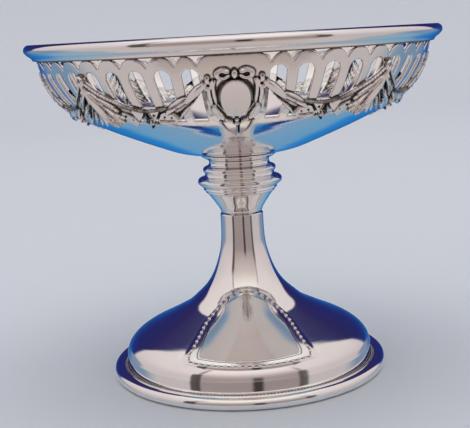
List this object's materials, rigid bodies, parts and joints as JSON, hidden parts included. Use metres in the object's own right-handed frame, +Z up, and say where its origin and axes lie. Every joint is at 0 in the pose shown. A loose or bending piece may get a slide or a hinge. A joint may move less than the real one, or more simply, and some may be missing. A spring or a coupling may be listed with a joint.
{
  "type": "sherbet dish",
  "caption": "Footed silver sherbet dish: shallow bowl with a pierced arcade hung with leaf garlands between oval wreaths, ringed collar, and trumpet stem on a domed, bordered foot.",
  "frame": {"origin": "centre of the foot's flat resting face", "axes": "+Z up along the dish's axis, -Y towards the front, where one wreath and the foot's reserve face, +X to the right as seen from the front"},
  "size_m": [0.108, 0.108, 0.09],
  "materials": {
    "polished_silver": "polished",
    "chased_silver": "satin"
  },
  "bodies": {
    "root": {"rim_border": "polished_silver", "gallery": "polished_silver", "bowl_dish": "polished_silver", "collar": "polished_silver", "stem_foot": "polished_silver", "foot_border": "polished_silver", "cartouche_plate": "polished_silver", "boss_front": "polished_silver", "boss_right": "polished_silver", "boss_back": "polished_silver", "boss_left": "polished_silver", "wreath_front": "chased_silver", "wreath_right": "chased_silver", "wreath_back": "chased_silver", "wreath_left": "chased_silver", "swag_front_to_right": "chased_silver", "swag_front_to_left": "chased_silver", "swag_right_to_back": "chased_silver", "swag_right_to_front": "chased_silver", "swag_back_to_left": "chased_silver", "swag_back_to_right": "chased_silver", "swag_left_to_front": "chased_silver", "swag_left_to_back": "chased_silver", "drop_front_right": "chased_silver", "drop_right_back": "chased_silver", "drop_back_left": "chased_silver", "drop_left_front": "chased_silver", "foot_bead_wire": "chased_silver", "cartouche_wire": "chased_silver"}
  },
  "joints": []
}
